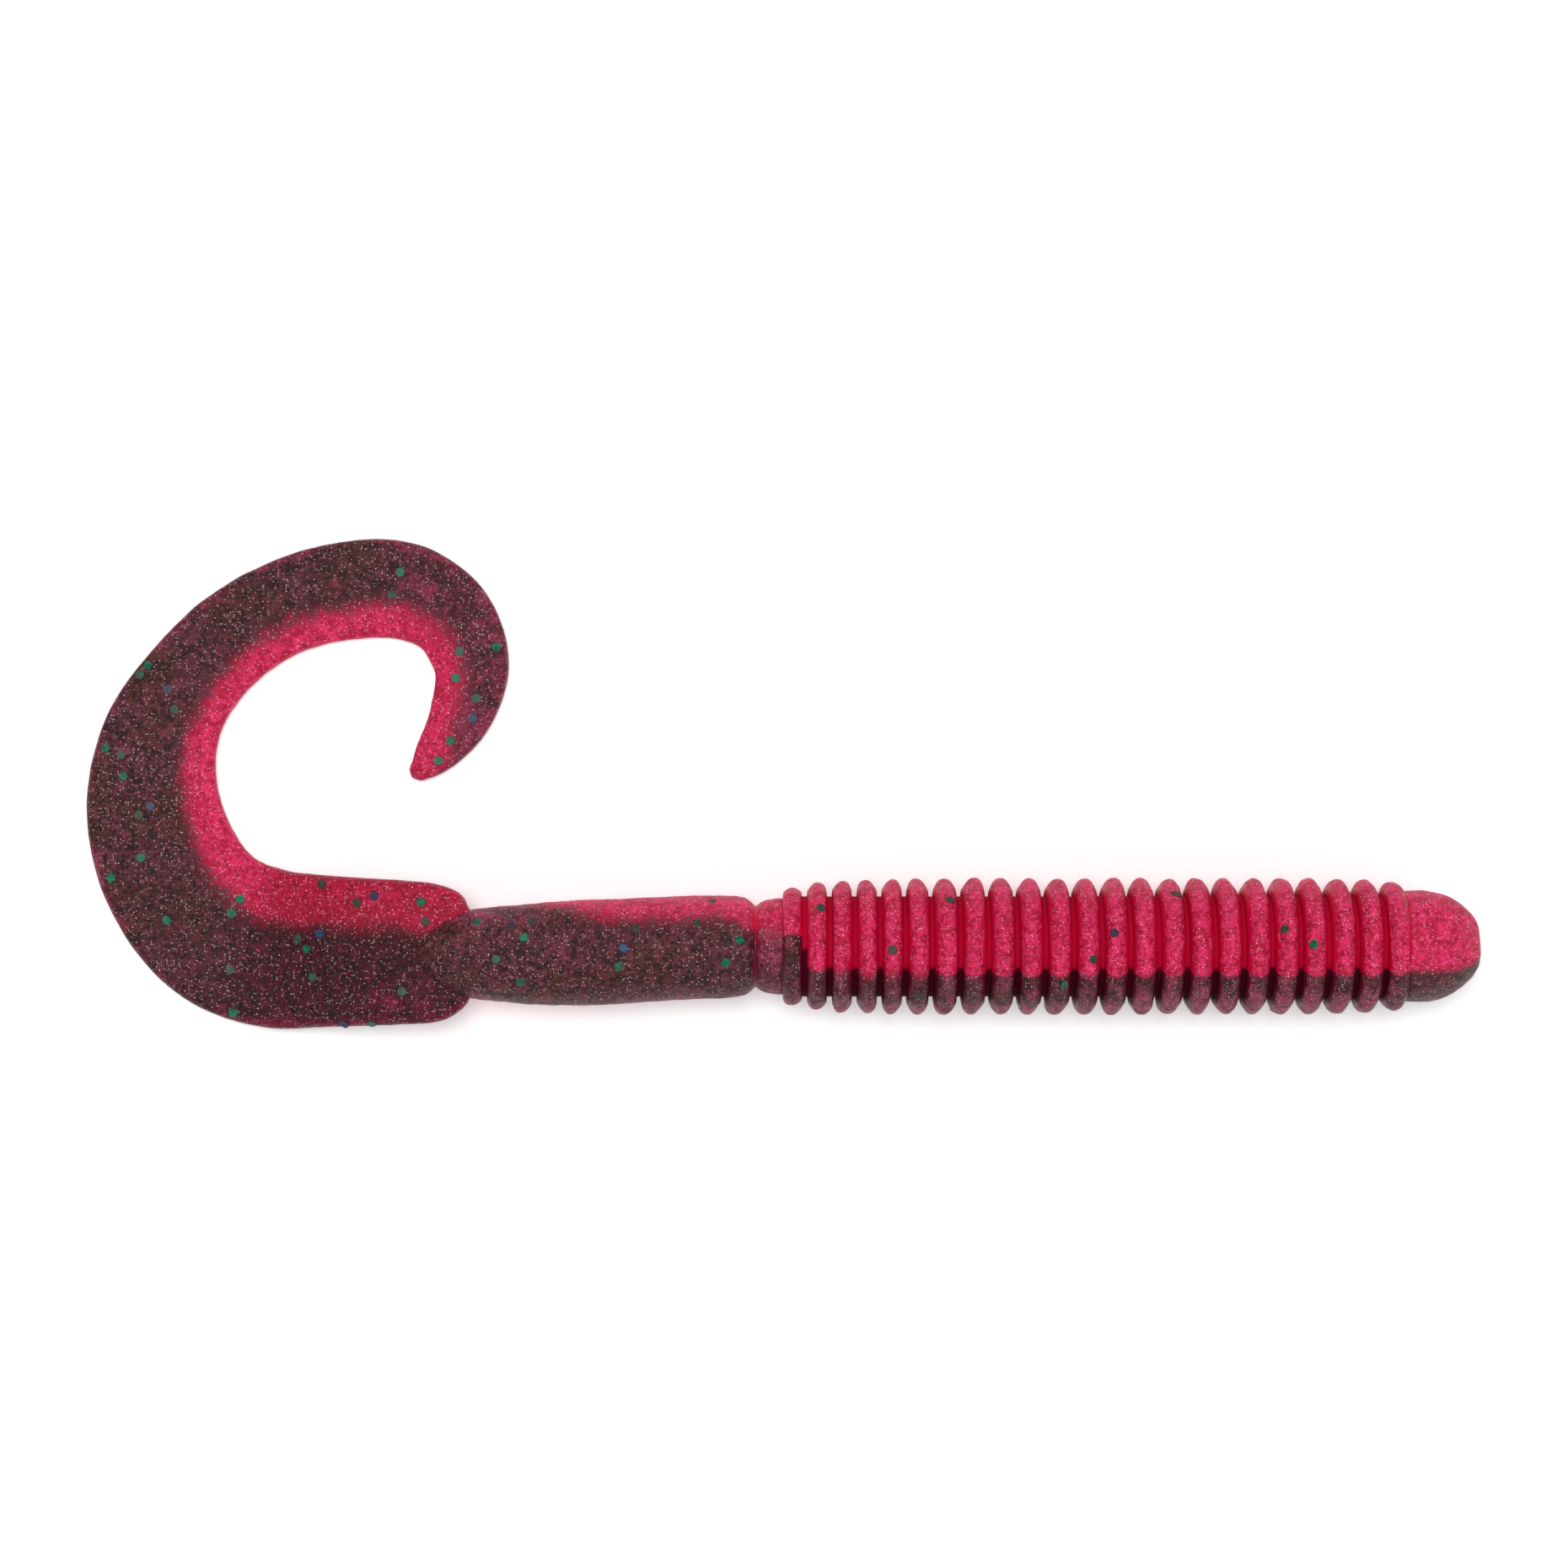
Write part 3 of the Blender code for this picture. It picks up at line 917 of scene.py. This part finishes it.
def blade_section(s, detail=1.0):
    """(points, marks) of one section of the blade's skin. Small lumps fade where detail is 0."""
    base, along, inner, up = blade.frame(s)
    half, thick = blade.at(s)[2], blade.thickness(s)
    share = s / blade.length
    past = max(0.0, 1 - (blade.length - s) / TIP_RADIUS)
    round_tip = math.sqrt(1 - past * past)
    half = max(half, TIP_RADIUS) * max(0.16, round_tip)
    thick *= 0.5 + 0.5 * round_tip
    points, marks = [], {"dark": [], "dull": [], "deep": [], "crest": []}
    for u, v in COLUMNS:
        flat = base + inner * u * half
        edge = 0.07 * wander((s, 0, u), 1.6, 91) * max(0, abs(u) - 0.8) / 0.2
        top = 0.0
        if v > 0.5:
            top = 0.13 * wander(flat, 3.2, 92) + 1.6 * lumps(flat, 93) * detail
            top -= 0.10 * max(0, abs(u) - 0.72) / 0.28
        point = flat + inner * math.copysign(edge, u) + up * (v * thick + top)
        points.append(tuple(point))
        into_dark = (table(BLADE_SEAM, share) - u) * blade.at(s)[2]
        rim = max(0.0, 1 - (1 + u) * half / 1.1)
        root = 0.35 * ease((0.16 - share) / 0.1) * ease((-u - 0.2) / 0.5)
        marks["dark"].append(into_dark / 1.3)
        late = 0.5 * ease((share - 0.7) / 0.1)
        marks["dull"].append((0.62 + 0.9 * wander(flat, 5.0, 94)) * rim + root + late)
        # Darker near the root and a little near the tip: painted shade where the blade reflects
        # less light.
        marks["deep"].append(1.0 - ease((share - 0.12) / 0.22) + 0.35 * ease((share - 0.7) / 0.1))
        marks["crest"].append(1.0)
    return points, marks


def blade_skin(name, s0, s1):
    """A closed length of the blade between two distances along it."""
    count = max(3, round((s1 - s0) / STEP_ALONG))
    around = len(COLUMNS)
    points, faces, marks = [], [], {}
    for k in range(count + 1):
        detail = ease(min(k, count - k) * STEP_ALONG / 1.2)
        ring, ring_marks = blade_section(s0 + (s1 - s0) * k / count, detail)
        points += ring
        for mark, values in ring_marks.items():
            marks.setdefault(mark, []).extend(values)
    for k in range(count):
        a, b = k * around, (k + 1) * around
        for i in range(around):
            j = (i + 1) % around
            faces.append((a + i, b + i, b + j, a + j))
    last = count * around
    caps = (len(faces), len(faces) + 1)
    faces.append(tuple(range(around)))
    faces.append(tuple(last + i for i in reversed(range(around))))
    return make_piece(name, points, faces, marks, plastisol, caps)


def blade_joint_names():
    names = ["tail_flap"]
    names += [f"tail_{'curl' if k % 2 else 'wave'}_{k:02d}" for k in range(1, SEGMENTS)]
    return names


def build_blade():
    """The blade's skin, in lengths that each reach across one joint and meet halfway between."""
    names = blade_joint_names()
    cuts = [blade.place_of(joint_place(name)) for name in names]
    ends = [0.0] + [(a + b) / 2 for a, b in zip(cuts, cuts[1:])] + [blade.length]
    for k, name in enumerate(names):
        joint = joints[name]
        piece = blade_skin(f"tail_skin_{k:02d}", ends[k], ends[k + 1])
        pivot = joint_place(name)
        _, along, _, _ = blade.frame(cuts[k])
        reach = 2.6
        for seam in (ends[k], ends[k + 1]):
            if seam in (0.0, blade.length):
                continue
            ring, _ = blade_section(seam)
            reach = min(reach, 0.98 * min(abs((Vector(p) - pivot).dot(along)) for p in ring))
        if k == 0:
            start, end = pivot - along * 2.1, pivot + along * reach
        else:
            start, end = pivot - along * reach, pivot + along * reach
        nodes = [joint["child"]] + (["tail_shank"] if k == 0 else [])
        follow_joint(piece, joint["parent"], joint["child"], start, end, nodes)


for rib in RIB_X:
    rib_ring(rib)
for groove in GROOVES:
    groove_core(groove)
build_nose()
build_collar()
build_waist()
build_body()
build_blade()


# --- Hexagonal flakes -----------------------------------------------------------------------------

FLAKE_RADIUS = 0.44
FLAKE_THICKNESS = 0.06

# Flakes seen from above: x, y, kind, depth (0 on the surface, 1 deep in the plastic), in mm.
TOP_FLAKES = (
    (-33.9, 19.0, "green", 0.15),
    (-34.6, 17.0, "green", 0.5),
    (-25.3, 12.3, "green", 0.1),
    (-28.6, 11.9, "green", 0.35),
    (-28.9, 9.5, "green", 0.1),
    (-27.1, 7.7, "green", 0.5),
    (-27.4, 5.9, "blue", 0.3),
    (-29.4, 3.9, "green", 0.25),
    (-30.5, 2.1, "green", 0.0),
    (-56.5, 10.6, "green", 0.2),
    (-57.2, 9.8, "green", 0.5),
    (-54.7, 8.5, "blue", 0.6),
    (-54.1, 6.7, "green", 0.6),
    (-60.3, 3.2, "green", 0.3),
    (-58.9, 2.6, "green", 0.6),
    (-58.7, 0.7, "green", 0.3),
    (-56.3, -2.0, "blue", 0.6),
    (-57.3, -2.8, "green", 0.7),
    (-57.1, -6.6, "green", 0.2),
    (-59.8, -8.4, "green", 0.05),
    (-48.2, -10.3, "green", 0.0),
    (-49.0, -11.6, "green", 0.0),
    (-54.8, -12.2, "green", 0.05),
    (-40.6, -8.9, "green", 0.8),
    (-37.3, -10.5, "green", 0.7),
    (-35.7, -9.9, "blue", 0.6),
    (-31.5, -10.4, "green", 0.1),
    (-31.1, -12.1, "green", 0.8),
    (-40.7, -13.3, "blue", 0.3),
    (-42.8, -13.8, "green", 0.6),
    (-42.0, -14.7, "green", 0.2),
    (-49.1, -16.6, "green", 0.6),
    (-41.4, -17.2, "green", 0.6),
    (-33.2, -18.3, "green", 0.5),
    (-48.8, -20.5, "green", 0.15),
    (-36.0, -21.2, "green", 0.2),
    (-38.5, -21.3, "blue", 0.5),
    (-26.4, -12.1, "green", 0.4),
    (-23.4, -12.4, "blue", 0.8),
    (-21.5, -12.0, "green", 0.7),
    (-22.2, -13.4, "green", 0.0),
    (-24.6, -15.3, "green", 0.5),
    (-22.5, -17.3, "green", 0.35),
    (-13.5, -14.3, "blue", 0.1),
    (-13.9, -15.9, "green", 0.3),
    (-12.5, -12.6, "green", 0.8),
    (-7.1, -12.1, "green", 0.75),
    (-3.3, -13.6, "green", 0.0),
    (-4.6, -15.6, "green", 0.05),
    (-5.8, -10.3, "green", 0.75),
    (15.6, -10.1, "green", 0.8),
    (9.9, -14.4, "green", 0.85),
    (4.1, -10.8, "green", 0.8),
    (12.3, -18.5, "green", 0.9),
    (25.7, -17.5, "green", 0.25),
    (28.0, -15.2, "green", 0.8),
    (28.3, -12.9, "blue", 0.8),
    (35.0, -9.6, "green", 0.8),
    (43.2, -12.6, "green", 0.6),
    (45.8, -13.9, "green", 0.15),
)
UNDER_FLAKES = 46  # on the sides that the list above doesn't reach, placed at random


def skin_tree(mesh):
    corners = [face.vertices[:] for face in mesh.polygons]
    return BVHTree.FromPolygons([vertex.co for vertex in mesh.vertices], corners)


trees = [(skin_tree(skin.data), skin, how) for skin, how in skins]


def hit_skin(origin, way):
    """(place, normal, index of the skin) of the first skin that a line meets, all in metres."""
    best = None
    for index, (tree, _, _) in enumerate(trees):
        place, normal, _, far = tree.ray_cast(origin, way)
        if place is not None and (best is None or far < best[0]):
            best = (far, place, normal, index)
    return best[1:] if best else None


def on_crest(x):
    """A place along the worm, moved onto the crest of the nearest rib if it is among the ribs."""
    middle = min(RIB_X.values(), key=lambda place: abs(place - x))
    return x if abs(x - middle) > 1.3 else min(max(x, middle - 0.35), middle + 0.35)


def add_flake(groups, draw, hit, kind, depth):
    place, normal, index = hit
    groups.setdefault((index, kind), []).append((place / MM, normal, depth, draw.uniform(0, 6.28)))


def flake_mesh(flakes):
    """Thin hexagons with a softened rim, lying in the skin."""
    points, faces, depths = [], [], []
    for place, normal, depth, turn in flakes:
        spin = normal.to_track_quat("Z", "Y").to_matrix()
        lean = Euler((0.06 * math.sin(5 * turn), 0.06 * math.cos(7 * turn), turn)).to_matrix()
        sunk = FLAKE_THICKNESS * (0.5 - 0.42 * depth)
        first = len(points)
        for radius, height in ((1.0, -1.6), (1.0, 0.45), (0.86, 1.0)):
            for k in range(6):
                corner = math.pi * k / 3
                local = Vector(
                    (
                        FLAKE_RADIUS * radius * math.cos(corner),
                        FLAKE_RADIUS * radius * math.sin(corner),
                        sunk + FLAKE_THICKNESS * (height - 0.6),
                    )
                )
                points.append(tuple(place + spin @ (lean @ local)))
                depths.append(depth)
        for ring in (0, 6):
            for k in range(6):
                n = (k + 1) % 6
                a = first + ring
                faces.append((a + k, a + n, a + 6 + n, a + 6 + k))
        faces.append(tuple(first + 12 + k for k in range(6)))
        faces.append(tuple(first + k for k in reversed(range(6))))
    return points, faces, depths


def build_flakes():
    draw = random.Random(7)
    groups = {}
    for x, y, kind, depth in TOP_FLAKES:
        hit = hit_skin(Vector((on_crest(x), y, 40)) * MM, Vector((0, 0, -1)))
        if hit:
            add_flake(groups, draw, hit, kind, depth)
    for count in range(UNDER_FLAKES):
        if count % 3:  # two in three on the blade, the others on the round body
            s, u = draw.uniform(8, blade.length - 3), draw.uniform(-0.85, 0.85)
            base, _, inner, _ = blade.frame(s)
            spot = base + inner * u * blade.at(s)[2]
            origin, way = Vector((spot.x, spot.y, -30)), Vector((0, 0, 1))
        else:
            x, angle = on_crest(draw.uniform(-27, 60)), math.radians(draw.uniform(100, 260))
            out = Vector((0, math.sin(angle), math.cos(angle)))
            origin = Vector((x, body_side(min(x, 0)), AXIS_Z)) + out * 30
            way = -out
        hit = hit_skin(origin * MM, way)
        kind = "blue" if draw.random() < 0.15 else "green"
        depth = draw.choice((0.0, 0.1, 0.3, 0.5, 0.7, 0.8))
        if hit:
            add_flake(groups, draw, hit, kind, depth)
    materials = {
        kind: flake_material(f"{kind}_flake_film", *colours)
        for kind, colours in FLAKE_COLOURS.items()
    }
    for (index, kind), flakes in groups.items():
        _, skin, how = trees[index]
        points, faces, depths = flake_mesh(flakes)
        name = f"{kind}_flakes_{skin.name}"
        piece = make_piece(name, points, faces, {"depth": depths}, materials[kind])
        piece.data.shade_flat()
        if how[0] == "ride":
            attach(piece, how[1])
        else:
            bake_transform(piece)


build_flakes()


# --- Floor, light and camera ----------------------------------------------------------------------

FLOOR_SIDE = 12.0  # m
SKY_FADE = (0.0, 0.85, 0.38, 0.52)  # heights from and to, then the light's strength from and to
LENS = 85.0
SENSOR = 36.0
VIEW_WIDTH = 138.57  # mm across the picture at the height of the body's axis
VIEW_CENTRE = Vector((0.5, 0.0, 0.0))


def build_floor():
    mesh = bpy.data.meshes.new("floor")
    side = FLOOR_SIDE / 2
    corners = [(-side, -side, 0), (side, -side, 0), (side, side, 0), (-side, side, 0)]
    mesh.from_pydata(corners, [], [(0, 1, 2, 3)])
    mesh.materials.append(floor_material("pale_floor"))
    floor = bpy.data.objects.new("floor", mesh)
    floor.location.z = -0.02 * MM
    bpy.context.scene.collection.objects.link(floor)


def area_light(name, place, size, power):
    """A round soft light that faces the middle of the scene."""
    data = bpy.data.lights.new(name, "AREA")
    data.shape = "DISK"
    data.size = size
    data.energy = power
    light = bpy.data.objects.new(name, data)
    light.location = place
    light.rotation_euler = (-place).to_track_quat("-Z", "Y").to_euler()
    bpy.context.scene.collection.objects.link(light)


def build_light():
    world = bpy.data.worlds.new("studio")
    world.use_nodes = True
    nodes, links = world.node_tree.nodes, world.node_tree.links
    background = nodes["Background"]
    background.inputs["Color"].default_value = (1, 1, 1, 1)
    height = nodes.new("ShaderNodeSeparateXYZ")
    links.new(nodes.new("ShaderNodeTexCoord").outputs["Generated"], height.inputs[0])
    fade = nodes.new("ShaderNodeMapRange")
    for socket, number in zip(fade.inputs[1:], SKY_FADE):
        socket.default_value = number
    links.new(height.outputs["Z"], fade.inputs["Value"])
    links.new(fade.outputs[0], background.inputs["Strength"])
    bpy.context.scene.world = world
    area_light("overhead", Vector((-0.05, 0.10, 0.75)), 0.30, 3.0)
    area_light("fill", Vector((0.45, -0.35, 0.55)), 0.35, 0.6)


def build_camera():
    data = bpy.data.cameras.new("camera")
    data.lens = LENS
    data.sensor_width = SENSOR
    distance = VIEW_WIDTH * LENS / SENSOR
    camera = bpy.data.objects.new("camera", data)
    camera.location = (VIEW_CENTRE + Vector((0, 0, AXIS_Z + distance))) * MM
    data.clip_start = 0.01
    bpy.context.scene.collection.objects.link(camera)
    bpy.context.scene.camera = camera


build_floor()
build_light()
build_camera()
bpy.context.scene.view_settings.view_transform = "Standard"
